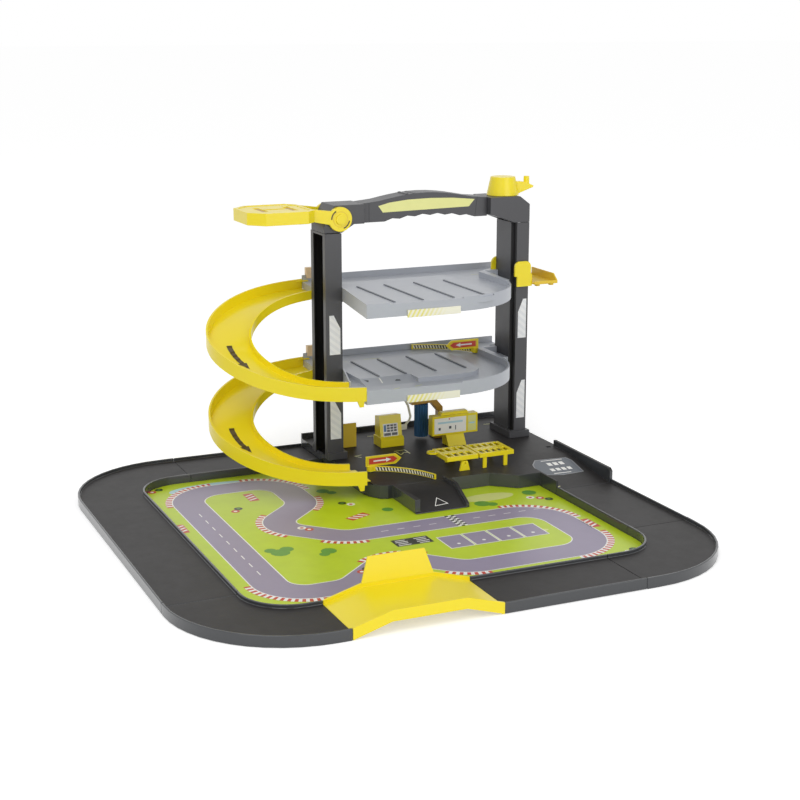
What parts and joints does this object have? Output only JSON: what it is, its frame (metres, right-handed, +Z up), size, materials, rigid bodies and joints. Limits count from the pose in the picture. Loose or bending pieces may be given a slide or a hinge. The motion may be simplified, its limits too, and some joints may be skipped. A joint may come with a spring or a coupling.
{
  "type": "toy garage",
  "caption": "Toy garage with a ring road round a play mat, a raised base, two decks, curved ramps, a crank lift, a folding helipad and a carry handle.",
  "frame": {"origin": "centre of the ring road's square footprint, on the floor, on the underside of the play mat", "axes": "+Z up; +X toward the lift side; -Y toward the side with the bridge"},
  "size_m": [0.644, 0.62, 0.3648],
  "materials": {
    "charcoal_shell": "moulded, fine spark texture",
    "grey_shell": "moulded, satin",
    "yellow_shell": "moulded, polished",
    "mat_print": "printed board",
    "cream_trim": "moulded, satin",
    "ochre_shell": "moulded, satin",
    "blue_brush": "ribbed foam",
    "steel_pin": "turned"
  },
  "bodies": {
    "frame": {"road_back": "charcoal_shell", "road_back_left": "charcoal_shell", "road_front_left": "charcoal_shell", "road_front": "charcoal_shell", "road_front_right": "charcoal_shell", "road_right": "charcoal_shell", "play_mat": "mat_print", "bridge": "yellow_shell", "garage_base": "charcoal_shell", "exit_ramp": "charcoal_shell", "left_pillar": "charcoal_shell", "right_pillar": "charcoal_shell", "left_pillar_foot": "charcoal_shell", "right_pillar_foot": "charcoal_shell", "left_head": "charcoal_shell", "right_head": "charcoal_shell", "carry_handle": "charcoal_shell", "lower_deck": "grey_shell", "upper_deck": "grey_shell", "lower_shelf_left": "charcoal_shell", "lower_shelf_right": "charcoal_shell", "upper_shelf_left": "charcoal_shell", "upper_shelf_right": "charcoal_shell", "lower_board": "cream_trim", "upper_board": "cream_trim", "lower_ramp": "yellow_shell", "upper_ramp": "yellow_shell", "lower_clip": "yellow_shell", "upper_clip": "yellow_shell", "screw_top_bearing": "steel_pin", "screw_low_bearing": "steel_pin", "helipad_pin": "steel_pin", "exit_gate_pin": "steel_pin", "deck_gate_pin": "steel_pin", "side_panel": "yellow_shell", "fuel_pump": "yellow_shell", "pump_hose": "cream_trim", "wash_frame": "ochre_shell", "control_screen": "yellow_shell", "screen_stand": "yellow_shell", "service_table": "yellow_shell", "rocker_leg_front": "yellow_shell", "rocker_leg_rear": "yellow_shell"},
    "lift": {"lift_carriage": "yellow_shell", "lift_tray": "yellow_shell"},
    "crank": {"lift_crank": "yellow_shell", "crank_shaft": "steel_pin", "crank_gear": "cream_trim"},
    "screw": {"lift_screw": "cream_trim", "screw_gear": "cream_trim"},
    "helipad": {"helipad": "yellow_shell", "helipad_cap_front": "yellow_shell", "helipad_cap_rear": "yellow_shell"},
    "exit_gate": {"exit_gate": "yellow_shell"},
    "deck_gate": {"deck_gate": "yellow_shell"},
    "wash_roller": {"wash_roller": "blue_brush"},
    "service_rocker": {"service_rocker": "yellow_shell"}
  },
  "joints": [
    {"name": "lift_travel", "type": "slide", "parent": "frame", "child": "lift", "axis": [0, 0, 1], "range_m": [-0.183, 0]},
    {"name": "crank_turn", "type": "hinge", "parent": "frame", "child": "crank", "pos_m": [0.268, 0.222, 0.341], "axis": [0, 0, 1], "range_deg": [-1650, 3]},
    {"name": "screw_turn", "type": "hinge", "parent": "frame", "child": "screw", "pos_m": [0.284, 0.222, 0.307], "axis": [0, 0, 1], "range_deg": [-3, 1650]},
    {"name": "helipad_fold", "type": "hinge", "parent": "frame", "child": "helipad", "pos_m": [0.03, 0.222, 0.3245], "axis": [0, 1, 0], "range_deg": [0, 90]},
    {"name": "exit_gate_swing", "type": "hinge", "parent": "frame", "child": "exit_gate", "pos_m": [0.0395, 0.128, 0.019], "axis": [0, 0, 1], "range_deg": [-30, 12]},
    {"name": "deck_gate_swing", "type": "hinge", "parent": "frame", "child": "deck_gate", "pos_m": [0.2435, 0.2465, 0.1277], "axis": [0, 0, 1], "range_deg": [0, 32]},
    {"name": "wash_roller_spin", "type": "hinge", "parent": "frame", "child": "wash_roller", "pos_m": [0.162, 0.243, 0.025], "axis": [0, 0, 1], "continuous": true},
    {"name": "service_rocker_tilt", "type": "hinge", "parent": "frame", "child": "service_rocker", "pos_m": [0.1485, 0.084, 0.0285], "axis": [0, 1, 0], "range_deg": [-6, 6]}
  ],
  "couplings": [
    {"joint": "crank_turn", "follows": "lift_travel", "rad_per_m": 157.08},
    {"joint": "screw_turn", "follows": "lift_travel", "rad_per_m": -157.08}
  ]
}
